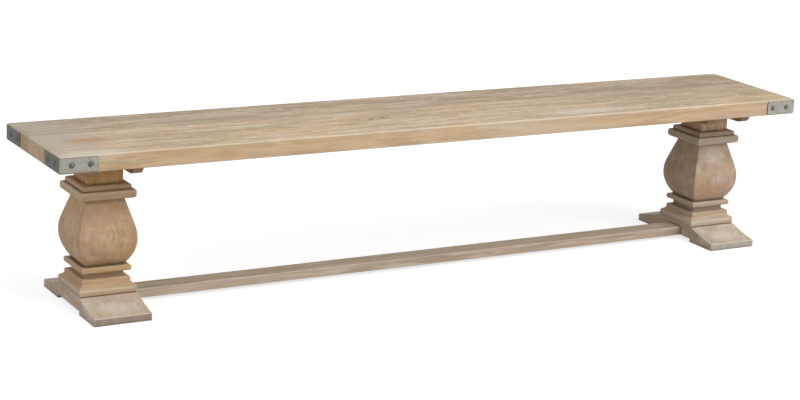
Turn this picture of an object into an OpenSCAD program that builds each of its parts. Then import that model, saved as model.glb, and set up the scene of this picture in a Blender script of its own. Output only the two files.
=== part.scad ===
// Dining bench: a thick limed wood top with steel corner straps, on two square baluster
// pedestals that stand on sledge feet and are tied together by one low rail.
// X runs along the bench, Y across it with the front at -Y, and Z is up.
// The origin is on the floor, under the middle of the top.

/* [Bench] */
// Length over the corner straps
bench_length = 2300; // [1800:10:2600]
// Depth over the corner straps, front to back
bench_depth = 390; // [370:5:440]
// Height of the seat above the floor, which the vases take up
seat_height = 450; // [405:1:500]
// Distance from the end of the top to the middle of a pedestal
end_overhang = 178; // [150:1:400]

/* [Top] */
// Thickness of the top boards
top_thickness = 45; // [38:1:55]
// Width of the board along the back edge
back_board_width = 62; // [55:1:66]
// Width of the next board forward
second_board_width = 100; // [90:1:130]
// Width of the third board, the front board takes what is left
third_board_width = 105; // [90:1:110]
// Radius of the upper edges all round the top
arris_radius = 4; // [2:0.5:6]
// Radius of the lower edges all round the top
under_arris_radius = 2; // [1:0.5:4]
// Chamfer on the upper edges where two boards meet
seam_chamfer = 0.8; // [0.3:0.1:2]
// Diameter of the dowels between the boards
board_dowel_d = 8; // [6:1:10]
// Length of the dowels between the boards
board_dowel_length = 56; // [40:2:60]
// Number of dowels in each seam
board_dowel_count = 6; // [3:1:10]

/* [Corner straps] */
// Thickness of the strap steel
strap_thickness = 2.5; // [1.5:0.5:4]
// Length of each leg of a strap, measured from the corner
strap_leg = 102; // [95:1:115]
// Height of a strap
strap_height = 38; // [32:1:39]
// Radius of the two corners at each free end
strap_end_radius = 7; // [3:1:12]
// Outer radius of the bend round the corner
strap_bend_radius = 5; // [4.5:0.5:8]
// Distance from the corner to the first nail
first_nail = 33; // [30:1:40]
// Distance from the corner to the second nail
second_nail = 82; // [65:1:86]
// Diameter of a nail's domed head
nail_head_d = 14; // [10:1:18]
// Height of a nail's domed head
nail_head_height = 4.5; // [2:0.5:5]
// Diameter of a nail's shank
nail_shank_d = 6; // [4:0.5:7]
// Depth that a nail reaches into the wood
nail_grip = 22; // [14:1:22]

/* [Pedestals] */
// Width of the plinth where it stands on the foot
plinth_width = 156; // [152:1:170]
// Height of the plinth's upright face below the ogee
plinth_face_height = 14.5; // [10:0.5:18]
// Radius of both curves of the ogee
ogee_radius = 8; // [5:0.5:10]
// Lean of the ogee's middle, in degrees from upright
ogee_slope = 60; // [45:1:65]
// Width of the step above the ogee
plinth_step_width = 131; // [122:1:138]
// Height of the step above the ogee
plinth_step_height = 9.5; // [7:0.5:14]
// Width of the short neck between the plinth and the collar
plinth_neck_width = 103; // [90:1:112]
// Height of that short neck
plinth_neck_height = 16; // [8:0.5:18]
// Width of the collar under the vase
collar_width = 134; // [125:1:150]
// Thickness of the collar
collar_height = 15.5; // [13:0.5:22]
// Width of the vase at its belly
vase_belly_width = 157; // [148:1:170]
// Width of the vase at its top
vase_top_width = 102; // [96:1:112]
// Height of the belly, as a share of the vase's height
vase_belly_share = 0.405; // [0.4:0.005:0.45]
// Radius of the curve under the belly, as a share of the belly's height
vase_lower_share = 1.51; // [1.5:0.01:1.8]
// Radius of the curve over the belly, as a share of the height from there to the vase's top
vase_upper_share = 1.15; // [1:0.05:1.4]
// Width of the cap plate over the vase
cap_plate_width = 151; // [145:1:165]
// Thickness of the cap plate
cap_plate_height = 23.5; // [20:0.5:30]
// Width of the moulding on the cap plate
cap_moulding_width = 131; // [124:1:138]
// Thickness of that moulding
cap_moulding_height = 13.5; // [10:0.5:20]
// Width of the neck block under the top
neck_width = 98; // [90:1:110]
// Height of the neck block
neck_height = 73; // [60:1:90]

/* [Cleats] */
// Length of a cleat, front to back
cleat_length = 236; // [220:1:280]
// Depth of a cleat below the top
cleat_depth = 38; // [34:1:42]
// Thickness of a cleat
cleat_thickness = 27; // [22:1:32]
// Radius of the lower corners of a cleat
cleat_corner_radius = 25; // [10:1:30]

/* [Feet] */
// Length of a foot, front to back
foot_length = 366; // [340:1:380]
// Width of a foot
foot_width = 156; // [150:1:170]
// Thickness of a foot under its pedestal, from the floor
foot_height = 45; // [42:1:50]
// Thickness of a foot at its ends
foot_end_height = 20; // [14:1:28]
// Length of the level seat on top of a foot
foot_seat_length = 168; // [160:1:180]
// How far the sloping top is hollowed below a straight line
foot_hollow = 2.5; // [1:0.5:4]
// Length of the relief cut under a foot
foot_relief_length = 154; // [130:1:180]
// Height of the relief cut under a foot
foot_relief_height = 10; // [8:1:13]

/* [Rail] */
// Width of the rail that ties the feet
rail_width = 60; // [50:1:80]
// Thickness of the rail
rail_thickness = 25; // [18:1:27]
// Height of the rail's underside above the floor
rail_clearance = 10; // [9:1:17]
// Length of the tenon at each end of the rail
tenon_length = 30; // [20:1:34]
// Width of the shoulder round the tenon, at the rail's edges
tenon_edge_shoulder = 8; // [5:1:10]
// Width of the shoulder round the tenon, over and under it
tenon_face_shoulder = 5; // [3:0.5:6]

/* [Fastenings] */
// Diameter of the rod that clamps each pedestal
tie_rod_d = 10; // [8:1:12]
// Diameter of the washers on the rods
washer_d = 24; // [22:1:26]
// Thickness of the washers
washer_thickness = 2; // [1.5:0.5:3]
// Width across the flats of the nuts
nut_width = 17; // [16:1:19]
// Height of the nuts
nut_height = 8; // [6:0.5:9]
// Diameter of the wood screws
screw_d = 5; // [4:0.5:6]
// Diameter of a screw's countersunk head
screw_head_d = 10; // [9:0.5:11]
// Depth that the cleat screws reach into the top
top_screw_grip = 20; // [14:1:22]
// Depth that the cleat screws reach into the neck block
neck_screw_grip = 22; // [15:1:26]
// Gap left all round a shank, rod, dowel or tenon in its hole
fit_gap = 0.15; // [0.1:0.05:0.3]

/* [Hidden] */
$fa = 1.5;
$fs = 0.5;

// Colours of the wood and the steel
limed_wood = "#c3b396";
shaded_wood = "#b39e7c";
galvanised_steel = "#a4a092";
dark_steel = "#7d7c74";
bright_steel = "#b9bab8";
beech_dowel = "#d9c39a";

// Extra length that carries a cut clear of the face it starts from
past = 1;

// Outline of the top
top_length = bench_length - 2 * strap_thickness;
top_depth = bench_depth - 2 * strap_thickness;
top_underside = seat_height - top_thickness;
strap_corner_play = 1;
corner_radius = strap_bend_radius - strap_thickness + strap_corner_play;
back_seam_y = top_depth / 2 - back_board_width;
middle_seam_y = back_seam_y - second_board_width;
front_seam_y = middle_seam_y - third_board_width;
seams = [back_seam_y, middle_seam_y, front_seam_y];

// The dowels lie above the tips of the screws that come up from the cleats
dowel_cover = 4;
dowel_margin = 195;
board_dowel_z = top_underside + top_screw_grip + dowel_cover + board_dowel_d / 2;
dowel_pitch = (top_length - 2 * dowel_margin) / (board_dowel_count - 1);

// Heights of the straps and their nails
strap_top = seat_height - arris_radius;
strap_bottom = strap_top - strap_height;
nail_z = (strap_top + strap_bottom) / 2;
nail_places = [first_nail, second_nail];

// Places and heights along a pedestal
pedestal_x = bench_length / 2 - end_overhang;
plinth_z = foot_height;
ogee_depth = (plinth_width - plinth_step_width) / 2;
ogee_turn = ogee_radius * (1 - cos(ogee_slope));
ogee_rise = ogee_radius * sin(ogee_slope);
ogee_height = 2 * ogee_rise + (ogee_depth - 2 * ogee_turn) / tan(ogee_slope);
plinth_height = plinth_face_height + ogee_height + plinth_step_height + plinth_neck_height;
collar_z = plinth_z + plinth_height;
vase_z = collar_z + collar_height;
neck_z = top_underside - neck_height;
cap_moulding_z = neck_z - cap_moulding_height;
cap_plate_z = cap_moulding_z - cap_plate_height;
plinth_foot_radius = 2.5;
step_edge_radius = 3.5;
collar_edge_radius = 5;
cap_plate_under_radius = 9;
cap_plate_edge_radius = 5;
cap_moulding_under_radius = 1.5;
cap_moulding_edge_radius = 5;
block_corner_radius = 1.5;

// The vase's curves: one arc under the belly, another over it and a straight shoulder that meets the arc
// Heights inside it are rounded to a fine grid, so that its three parts meet exactly
grid = 0.01;
vase_height = cap_plate_z - vase_z;
vase_belly_height = grid * round(vase_belly_share * vase_height / grid);
vase_lower_radius = vase_lower_share * vase_belly_height;
vase_upper_height = vase_height - vase_belly_height;
vase_upper_radius = vase_upper_share * vase_upper_height;
vase_top_run = vase_upper_radius - (vase_belly_width - vase_top_width) / 2;
vase_top_reach = norm([vase_upper_height, vase_top_run]);
vase_lean = atan2(vase_upper_height, vase_top_run) - acos(vase_upper_radius / vase_top_reach);
vase_upper_rise = grid * round(vase_upper_radius * sin(vase_lean) / grid);

// The rod and the counterbores that hide its nuts
washer_play = 2;
rod_bore_d = tie_rod_d + 2 * fit_gap;
counterbore_d = washer_d + 2 * washer_play;
nut_recess = 14;
rod_stand = 2;
lower_washer_z = foot_relief_height + nut_recess - washer_thickness;
lower_nut_z = lower_washer_z - nut_height;
upper_washer_z = top_underside - nut_recess;
upper_nut_z = upper_washer_z + washer_thickness;
rod_bottom = lower_nut_z - rod_stand;
rod_top = upper_nut_z + nut_height + rod_stand;

// Cleats and their screws
cleat_z = top_underside - cleat_depth;
cleat_x = neck_width / 2 + cleat_thickness / 2;
screw_edge_margin = 2;
top_screw_ys = [-1, 0, 1] * (cleat_length / 2 - cleat_corner_radius - screw_head_d / 2 - screw_edge_margin);
neck_screw_ys = [-1, 1] * (neck_width / 4);
top_screw_length = cleat_depth + top_screw_grip;
neck_screw_length = cleat_thickness + neck_screw_grip;

// Rail, tenons and their screws
foot_inner_x = pedestal_x - foot_width / 2;
tenon_width = rail_width - 2 * tenon_edge_shoulder;
tenon_height = rail_thickness - 2 * tenon_face_shoulder;
tenon_z = rail_clearance + tenon_face_shoulder;
rail_screw_x = foot_inner_x + tenon_length / 2;
rail_screw_cover = 8;
rail_screw_length = foot_height - foot_relief_height - rail_screw_cover;
rail_edge_radius = 2;
rail_under_radius = 1;

// Cuts the corner at a point to a round of the given radius, in a plane outline
module corner_waste(at, inward, radius) {
    translate([at[0] + inward[0] * radius, at[1] + inward[1] * radius])
        difference() {
            translate([inward[0] > 0 ? -2 * radius : 0, inward[1] > 0 ? -2 * radius : 0])
                square(2 * radius);
            circle(radius);
        }
}

// A rectangle standing on the X axis, with its upper and its lower corners rounded
module eased_rectangle(width, height, upper_radius, lower_radius) {
    difference() {
        translate([-width / 2, 0])
            square([width, height]);
        for (side = [-1, 1]) {
            corner_waste([side * width / 2, height], [-side, -1], upper_radius);
            corner_waste([side * width / 2, 0], [-side, 1], lower_radius);
        }
    }
}

// Draws an outline's X and Y as the object's X and Z, through a length along Y
module along_y(length) {
    rotate([90, 0, 0])
        linear_extrude(height = length, center = true)
            children();
}

// Draws an outline's X and Y as the object's Y and Z, through a length along X
module along_x(length) {
    rotate([90, 0, 90])
        linear_extrude(height = length, center = true)
            children();
}

// A square post moulded alike on its four faces, so that the mouldings mitre at the corners
module mitred_post(reach) {
    intersection() {
        along_y(reach)
            children();
        along_x(reach)
            children();
    }
}

// A square block with upright corners lightly eased
module eased_block(width, height) {
    linear_extrude(height = height)
        translate([0, -width / 2])
            eased_rectangle(width, width, block_corner_radius, block_corner_radius);
}

// The bore for the rod, right through a block
module rod_bore(height) {
    translate([0, 0, -past])
        cylinder(h = height + 2 * past, d = rod_bore_d);
}

// A countersunk wood screw with the face of its head at the origin, pointing up
module wood_screw(length, play = 0) {
    head_height = (screw_head_d - screw_d) / 2;
    cylinder(h = head_height, d1 = screw_head_d + 2 * play, d2 = screw_d + 2 * play);
    translate([0, 0, head_height - play])
        cylinder(h = length - head_height + 2 * play, d = screw_d + 2 * play);
}

// Puts what follows at each screw that comes up through the cleats
module at_top_screws() {
    for (side = [-1, 1], face = [-1, 1], y = top_screw_ys)
        translate([side * pedestal_x + face * cleat_x, y, cleat_z])
            children();
}

// Puts what follows at each screw that goes through a cleat into its neck block
module at_neck_screws() {
    outer_face = neck_width / 2 + cleat_thickness;
    for (side = [-1, 1], face = [-1, 1], y = neck_screw_ys)
        translate([side * pedestal_x + face * outer_face, y, cleat_z + cleat_depth / 2])
            rotate([0, -90 * face, 0])
                children();
}

// Puts what follows at each nail, with its origin on the strap's outer face, pointing inwards
module at_nails() {
    for (side = [-1, 1], face = [-1, 1], place = nail_places) {
        translate([side * (bench_length / 2 - place), face * bench_depth / 2, nail_z])
            rotate([90 * face, 0, 0])
                children();
        translate([side * bench_length / 2, face * (bench_depth / 2 - place), nail_z])
            rotate([0, -90 * side, 0])
                children();
    }
}

// Puts what follows at each dowel, lying across its seam
module at_board_dowels() {
    for (seam_y = seams, i = [0 : board_dowel_count - 1])
        translate([-top_length / 2 + dowel_margin + i * dowel_pitch, seam_y, board_dowel_z])
            rotate([90, 0, 0])
                children();
}

// The whole top before it is parted into boards
module top_blank() {
    intersection() {
        translate([0, 0, top_underside])
            along_y(top_depth + 2 * past)
                eased_rectangle(top_length, top_thickness, arris_radius, under_arris_radius);
        translate([0, 0, top_underside])
            along_x(top_length + 2 * past)
                eased_rectangle(top_depth, top_thickness, arris_radius, under_arris_radius);
        translate([0, -top_depth / 2, top_underside - past])
            linear_extrude(height = top_thickness + 2 * past)
                eased_rectangle(top_length, top_depth, corner_radius, corner_radius);
    }
}

// A dowel across a seam, or its hole when it has play
module board_dowel(play = 0) {
    cylinder(h = board_dowel_length + 2 * play, d = board_dowel_d + 2 * play, center = true);
}

// One board of the top, with its holes for dowels, nails and screws
module top_board(front_y, back_y) {
    color(limed_wood)
        difference() {
            intersection() {
                top_blank();
                along_x(top_length + 2 * past)
                    polygon([
                        [front_y, top_underside],
                        [back_y, top_underside],
                        [back_y, seat_height - seam_chamfer],
                        [back_y - seam_chamfer, seat_height],
                        [front_y + seam_chamfer, seat_height],
                        [front_y, seat_height - seam_chamfer]
                    ]);
            }
            at_board_dowels()
                board_dowel(fit_gap);
            at_nails()
                cylinder(h = strap_thickness + nail_grip + fit_gap, d = nail_shank_d + 2 * fit_gap);
            at_top_screws()
                wood_screw(top_screw_length, fit_gap);
        }
}

module top_board_front() {
    top_board(-top_depth / 2 - arris_radius, front_seam_y);
}

module top_board_third() {
    top_board(front_seam_y, middle_seam_y);
}

module top_board_second() {
    top_board(middle_seam_y, back_seam_y);
}

module top_board_back() {
    top_board(back_seam_y, top_depth / 2 + arris_radius);
}

module board_dowels() {
    color(beech_dowel)
        at_board_dowels()
            board_dowel();
}

// Trims the two corners at the free end of a strap's leg, drawn along X or along Y
module strap_end_waste(end) {
    corner_waste([end, strap_top], [1, -1], strap_end_radius);
    corner_waste([end, strap_bottom], [1, 1], strap_end_radius);
}

// The strap at the right end and the front, which is mirrored to the other corners
module corner_strap() {
    end_x = bench_length / 2 - strap_leg;
    end_y = bench_depth / 2 - strap_leg;
    color(galvanised_steel)
        difference() {
            translate([0, 0, strap_bottom])
                linear_extrude(height = strap_height)
                    difference() {
                        translate([0, -bench_depth / 2])
                            eased_rectangle(bench_length, bench_depth, strap_bend_radius, strap_bend_radius);
                        translate([0, -top_depth / 2])
                            eased_rectangle(top_length, top_depth,
                                strap_bend_radius - strap_thickness, strap_bend_radius - strap_thickness);
                        translate([-bench_length, -bench_depth])
                            square([bench_length + end_x, 2 * bench_depth]);
                        translate([0, -end_y])
                            square([bench_length, 2 * bench_depth]);
                    }
            translate([0, -bench_depth / 2, 0])
                along_y(4 * strap_thickness)
                    strap_end_waste(end_x);
            translate([bench_length / 2, 0, 0])
                along_x(4 * strap_thickness)
                    mirror([1, 0])
                        strap_end_waste(end_y);
            at_nails()
                translate([0, 0, -past])
                    cylinder(h = strap_thickness + 2 * past, d = nail_shank_d + 4 * fit_gap);
        }
}

module corner_strap_front_right() {
    corner_strap();
}

module corner_strap_front_left() {
    mirror([1, 0, 0])
        corner_strap();
}

module corner_strap_back_right() {
    mirror([0, 1, 0])
        corner_strap();
}

module corner_strap_back_left() {
    mirror([1, 0, 0])
        mirror([0, 1, 0])
            corner_strap();
}

// A nail with a low domed head, cut from a ball that passes through the head's rim
module domed_nail() {
    head_radius = nail_head_d / 2;
    ball_radius = (head_radius * head_radius + nail_head_height * nail_head_height) / (2 * nail_head_height);
    intersection() {
        translate([0, 0, ball_radius - nail_head_height])
            sphere(ball_radius);
        translate([0, 0, -2 * nail_head_height])
            cylinder(h = 2 * nail_head_height, d = nail_head_d + past);
    }
    cylinder(h = strap_thickness + nail_grip, d = nail_shank_d);
}

module strap_nails() {
    color(dark_steel)
        at_nails()
            domed_nail();
}

// A cleat beside the neck block on one side of it
module cleat(side, face) {
    color(shaded_wood)
        difference() {
            translate([side * pedestal_x + face * cleat_x, 0, cleat_z])
                along_x(cleat_thickness)
                    difference() {
                        translate([-cleat_length / 2, 0])
                            square([cleat_length, cleat_depth]);
                        for (end = [-1, 1])
                            corner_waste([end * cleat_length / 2, 0], [-end, 1], cleat_corner_radius);
                    }
            at_top_screws()
                wood_screw(top_screw_length, fit_gap);
            at_neck_screws()
                wood_screw(neck_screw_length, fit_gap);
        }
}

module cleat_left_outer() {
    cleat(-1, -1);
}

module cleat_left_inner() {
    cleat(-1, 1);
}

module cleat_right_inner() {
    cleat(1, -1);
}

module cleat_right_outer() {
    cleat(1, 1);
}

module cleat_top_screws() {
    color(bright_steel)
        at_top_screws()
            wood_screw(top_screw_length);
}

module cleat_neck_screws() {
    color(bright_steel)
        at_neck_screws()
            wood_screw(neck_screw_length);
}

// The plain square block at the head of a pedestal, with the rod's upper nut let into it
module neck_block(side) {
    color(shaded_wood)
        difference() {
            translate([side * pedestal_x, 0, neck_z])
                difference() {
                    eased_block(neck_width, neck_height);
                    rod_bore(neck_height);
                    translate([0, 0, neck_height - nut_recess])
                        cylinder(h = nut_recess + past, d = counterbore_d);
                }
            at_neck_screws()
                wood_screw(neck_screw_length, fit_gap);
        }
}

module neck_block_left() {
    neck_block(-1);
}

module neck_block_right() {
    neck_block(1);
}

// The thin moulding that steps in from the cap plate to the neck
module cap_moulding(side) {
    color(limed_wood)
        translate([side * pedestal_x, 0, cap_moulding_z])
            difference() {
                mitred_post(2 * cap_moulding_width)
                    eased_rectangle(cap_moulding_width, cap_moulding_height,
                        cap_moulding_edge_radius, cap_moulding_under_radius);
                rod_bore(cap_moulding_height);
            }
}

module cap_moulding_left() {
    cap_moulding(-1);
}

module cap_moulding_right() {
    cap_moulding(1);
}

// The wide plate with rounded edges that covers the vase
module cap_plate(side) {
    color(limed_wood)
        translate([side * pedestal_x, 0, cap_plate_z])
            difference() {
                mitred_post(2 * cap_plate_width)
                    eased_rectangle(cap_plate_width, cap_plate_height,
                        cap_plate_edge_radius, cap_plate_under_radius);
                rod_bore(cap_plate_height);
            }
}

module cap_plate_left() {
    cap_plate(-1);
}

module cap_plate_right() {
    cap_plate(1);
}

// The space between two equal arcs that face each other at the belly's width
module belly_lens(radius) {
    intersection_for(side = [-1, 1])
        translate([side * (vase_belly_width / 2 - radius), vase_belly_height])
            circle(radius);
}

// Outline of the vase: a full curve under the belly, a slower one over it, then a straight shoulder
module vase_outline() {
    shoulder_z = vase_belly_height + vase_upper_rise;
    shoulder_half = vase_belly_width / 2 - vase_upper_radius * (1 - cos(vase_lean));
    intersection() {
        belly_lens(vase_lower_radius);
        translate([-vase_belly_width, 0])
            square([2 * vase_belly_width, vase_belly_height]);
    }
    intersection() {
        belly_lens(vase_upper_radius);
        translate([-vase_belly_width, vase_belly_height])
            square([2 * vase_belly_width, vase_upper_rise]);
    }
    polygon([
        [-shoulder_half, shoulder_z],
        [shoulder_half, shoulder_z],
        [vase_top_width / 2, vase_height],
        [-vase_top_width / 2, vase_height]
    ]);
}

// The square vase that gives the pedestal its shape
module vase(side) {
    color(limed_wood)
        translate([side * pedestal_x, 0, vase_z])
            difference() {
                mitred_post(2 * vase_belly_width)
                    vase_outline();
                rod_bore(vase_height);
            }
}

module vase_left() {
    vase(-1);
}

module vase_right() {
    vase(1);
}

// The thin collar that the vase stands on
module collar(side) {
    color(limed_wood)
        translate([side * pedestal_x, 0, collar_z])
            difference() {
                mitred_post(2 * collar_width)
                    eased_rectangle(collar_width, collar_height, collar_edge_radius, collar_edge_radius);
                rod_bore(collar_height);
            }
}

module collar_left() {
    collar(-1);
}

module collar_right() {
    collar(1);
}

// What lies outside a round of the given radius, between two directions from its centre
module sector_waste(centre, start, turn, radius) {
    reach = 3 * radius;
    translate(centre)
        difference() {
            polygon([
                [0, 0],
                reach * [cos(start), sin(start)],
                reach * [cos(start + turn / 2), sin(start + turn / 2)],
                reach * [cos(start + turn), sin(start + turn)]
            ]);
            circle(radius);
        }
}

// What the ogee leaves away beside the step, with the ogee's hollow at its inner corner
module ogee_waste() {
    ogee_hollow = [plinth_step_width / 2 + ogee_radius, plinth_face_height + ogee_height];
    flank = [plinth_width / 2 - ogee_turn, plinth_face_height + ogee_rise];
    flank_foot = flank[1] - (plinth_width - flank[0]) / tan(ogee_slope);
    flank_head = flank[1] + (flank[0] - plinth_step_width / 2) / tan(ogee_slope);
    difference() {
        polygon([
            [plinth_step_width / 2, flank_head],
            [plinth_step_width / 2, plinth_height + past],
            [plinth_width, plinth_height + past],
            [plinth_width, flank_foot]
        ]);
        sector_waste(ogee_hollow, 180, ogee_slope, ogee_radius);
    }
    sector_waste([plinth_width / 2 - ogee_radius, plinth_face_height], 0, ogee_slope, ogee_radius);
}

// Outline of the plinth: an upright face, an ogee, a step with a rounded edge and a short neck
module plinth_outline() {
    step_top = plinth_height - plinth_neck_height;
    difference() {
        translate([-plinth_width / 2, 0])
            square([plinth_width, plinth_height]);
        for (side = [0, 1])
            mirror([side, 0]) {
                ogee_waste();
                corner_waste([plinth_width / 2, 0], [-1, 1], plinth_foot_radius);
                corner_waste([plinth_step_width / 2, step_top], [-1, -1], step_edge_radius);
                translate([plinth_neck_width / 2, step_top])
                    square([plinth_width, plinth_height]);
            }
    }
}

// The stepped plinth that stands on the foot
module plinth(side) {
    color(limed_wood)
        translate([side * pedestal_x, 0, plinth_z])
            difference() {
                mitred_post(2 * plinth_width)
                    plinth_outline();
                rod_bore(plinth_height);
            }
}

module plinth_left() {
    plinth(-1);
}

module plinth_right() {
    plinth(1);
}

// Side view of a foot: a level seat, two hollowed slopes and a relief cut between two pads
module foot_outline() {
    slope_run = (foot_length - foot_seat_length) / 2;
    slope_drop = foot_height - foot_end_height;
    chord = sqrt(slope_run * slope_run + slope_drop * slope_drop);
    hollow_radius = chord * chord / (8 * foot_hollow) + foot_hollow / 2;
    reach = hollow_radius - foot_hollow;
    difference() {
        translate([-foot_length / 2, 0])
            square([foot_length, foot_height]);
        for (end = [-1, 1])
            translate([
                end * ((foot_seat_length + slope_run) / 2 + reach * slope_drop / chord),
                (foot_height + foot_end_height) / 2 + reach * slope_run / chord
            ])
                circle(hollow_radius);
        translate([-foot_relief_length / 2, -past])
            square([foot_relief_length, foot_relief_height + past]);
    }
}

// The foot at the right end, with its mortise and the recess for the rod's lower nut
module foot() {
    color(limed_wood)
        difference() {
            translate([pedestal_x, 0, 0])
                along_x(foot_width)
                    foot_outline();
            translate([pedestal_x, 0, 0])
                rod_bore(foot_height);
            translate([pedestal_x, 0, 0])
                cylinder(h = foot_relief_height + nut_recess, d = counterbore_d);
            translate([foot_inner_x - past, -tenon_width / 2 - fit_gap, tenon_z - fit_gap])
                cube([tenon_length + fit_gap + past, tenon_width + 2 * fit_gap, tenon_height + 2 * fit_gap]);
            at_rail_screws()
                wood_screw(rail_screw_length, fit_gap);
        }
}

module foot_right() {
    foot();
}

module foot_left() {
    mirror([1, 0, 0])
        foot();
}

// Puts what follows at the screw that pins each tenon from below
module at_rail_screws() {
    for (side = [-1, 1])
        translate([side * rail_screw_x, 0, foot_relief_height])
            children();
}

// The low rail between the feet, with a tenon at each end
module foot_rail() {
    rail_length = 2 * foot_inner_x;
    color(limed_wood)
        difference() {
            union() {
                translate([0, 0, rail_clearance])
                    along_x(rail_length)
                        eased_rectangle(rail_width, rail_thickness, rail_edge_radius, rail_under_radius);
                translate([-rail_length / 2 - tenon_length, -tenon_width / 2, tenon_z])
                    cube([rail_length + 2 * tenon_length, tenon_width, tenon_height]);
            }
            at_rail_screws()
                wood_screw(rail_screw_length, fit_gap);
        }
}

module rail_screws() {
    color(bright_steel)
        at_rail_screws()
            wood_screw(rail_screw_length);
}

// The rod that clamps a foot and its pedestal into one
module tie_rod(side) {
    color(bright_steel)
        translate([side * pedestal_x, 0, rod_bottom])
            cylinder(h = rod_top - rod_bottom, d = tie_rod_d);
}

module tie_rod_left() {
    tie_rod(-1);
}

module tie_rod_right() {
    tie_rod(1);
}

module rod_nuts() {
    flat_to_corner = 1 / cos(30);
    color(bright_steel)
        for (side = [-1, 1], z = [lower_nut_z, upper_nut_z])
            translate([side * pedestal_x, 0, z])
                difference() {
                    cylinder(h = nut_height, d = nut_width * flat_to_corner, $fn = 6);
                    translate([0, 0, -past])
                        cylinder(h = nut_height + 2 * past, d = rod_bore_d);
                }
}

module rod_washers() {
    color(bright_steel)
        for (side = [-1, 1], z = [lower_washer_z, upper_washer_z])
            translate([side * pedestal_x, 0, z])
                difference() {
                    cylinder(h = washer_thickness, d = washer_d);
                    translate([0, 0, -past])
                        cylinder(h = washer_thickness + 2 * past, d = rod_bore_d);
                }
}

top_board_front();
top_board_third();
top_board_second();
top_board_back();
board_dowels();
corner_strap_front_left();
corner_strap_front_right();
corner_strap_back_left();
corner_strap_back_right();
strap_nails();
cleat_left_outer();
cleat_left_inner();
cleat_right_inner();
cleat_right_outer();
cleat_top_screws();
cleat_neck_screws();
neck_block_left();
neck_block_right();
cap_moulding_left();
cap_moulding_right();
cap_plate_left();
cap_plate_right();
vase_left();
vase_right();
collar_left();
collar_right();
plinth_left();
plinth_right();
foot_left();
foot_right();
tie_rod_left();
tie_rod_right();
rod_nuts();
rod_washers();
foot_rail();
rail_screws();
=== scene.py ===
# %% [markdown]
# # A dining bench in limed wood
# The bench is a long plank seat on two square baluster pedestals. Its solids come ready made, at their
# real size, and this script gives them their finishes, lights them and sets up the camera. Blender works
# in metres. Grain and wear are easier to think of in millimetres, so those sizes are a number times MM.

# %% Load the solids
import math

import bpy
from mathutils import Matrix, Vector


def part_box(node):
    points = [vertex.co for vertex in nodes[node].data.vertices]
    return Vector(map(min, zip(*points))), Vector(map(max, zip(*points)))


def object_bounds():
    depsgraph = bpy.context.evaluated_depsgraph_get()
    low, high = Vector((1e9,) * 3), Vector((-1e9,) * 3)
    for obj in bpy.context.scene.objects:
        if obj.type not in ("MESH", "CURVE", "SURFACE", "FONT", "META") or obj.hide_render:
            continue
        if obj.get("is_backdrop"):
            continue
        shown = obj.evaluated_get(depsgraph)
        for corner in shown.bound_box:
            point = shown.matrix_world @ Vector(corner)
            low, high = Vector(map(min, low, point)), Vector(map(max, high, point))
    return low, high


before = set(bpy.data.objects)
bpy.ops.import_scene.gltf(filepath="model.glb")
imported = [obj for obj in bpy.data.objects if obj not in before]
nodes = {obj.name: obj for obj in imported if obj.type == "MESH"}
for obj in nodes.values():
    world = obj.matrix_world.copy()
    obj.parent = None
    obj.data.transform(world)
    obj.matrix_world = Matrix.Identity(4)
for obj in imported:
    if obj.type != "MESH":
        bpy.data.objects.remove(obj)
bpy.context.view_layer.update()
scene = bpy.context.scene
scene.view_settings.view_transform = "Standard"
MM = 0.001

# %% [markdown]
# ## Camera
# The photo was taken from the left of the bench, a little above it, with a long lens held slightly out of
# level. A camera set by eye would hide a wrong proportion, so this one was fitted to straight edges of the
# bench. It looks along the line from its place to the point it aims at, and the roll turns it about that
# line.

# %% Camera
AIM = Vector((-76.4, 0, 197.4)) * MM
AZIMUTH, ELEVATION, ROLL = (math.radians(a) for a in (-30.19, 14.98, 2.90))
DISTANCE = 5673.8 * MM
SENSOR_MM = 36
LENS_MM = 91.5
FARTHEST_SEEN = 100
back = Vector((math.sin(AZIMUTH) * math.cos(ELEVATION), -math.cos(AZIMUTH) * math.cos(ELEVATION),
               math.sin(ELEVATION)))
level = back.to_track_quat("Z", "Y").to_matrix().to_4x4()
camera = bpy.data.objects.new("camera", bpy.data.cameras.new("camera"))
camera.matrix_world = Matrix.Translation(AIM + back * DISTANCE) @ level @ Matrix.Rotation(ROLL, 4, "Z")
camera.data.sensor_width = SENSOR_MM
camera.data.lens = LENS_MM
camera.data.clip_end = FARTHEST_SEEN
scene.collection.objects.link(camera)
scene.camera = camera
print("camera at", [round(v, 2) for v in camera.matrix_world.translation])

# %% [markdown]
# ## Helpers for materials
# Colours are written as the sRGB hex values that a paint program shows, and one function turns them into
# the linear values that Blender's sockets take. Another adds a node. Its settings are the node's own
# choices, and its inputs are numbers, colours or the output of another node. An input goes by its name, or
# by its number where several share a name, as the values of Math do. A Mix node mixes by its input 0. Its
# numbers are the inputs 2 and 3, and its colours 6 and 7.

# %% Colours and nodes
def linear(hex_colour):
    """An sRGB hex colour as the linear red, green, blue and alpha of a socket."""
    parts = [int(hex_colour[i:i + 2], 16) / 255 for i in (1, 3, 5)]
    return tuple(c / 12.92 if c <= 0.04045 else ((c + 0.055) / 1.055) ** 2.4 for c in parts) + (1.0,)


def add(tree, kind, inputs=None, out=None, **settings):
    """Adds a node with its settings and inputs, and gives one of its outputs, by name or the first in use."""
    made = tree.nodes.new("ShaderNode" + kind)
    for name, value in settings.items():
        setattr(made, name, value)
    for name, value in (inputs or {}).items():
        if isinstance(value, bpy.types.NodeSocket):
            tree.links.new(value, made.inputs[name])
        else:
            made.inputs[name].default_value = value
    if out:
        return made.outputs[out]
    return next((socket for socket in made.outputs if socket.enabled), None)


def new_material(name):
    """An empty material and its node tree."""
    made = bpy.data.materials.new(name)
    made.use_nodes = True
    made.node_tree.nodes.clear()
    return made, made.node_tree


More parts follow.
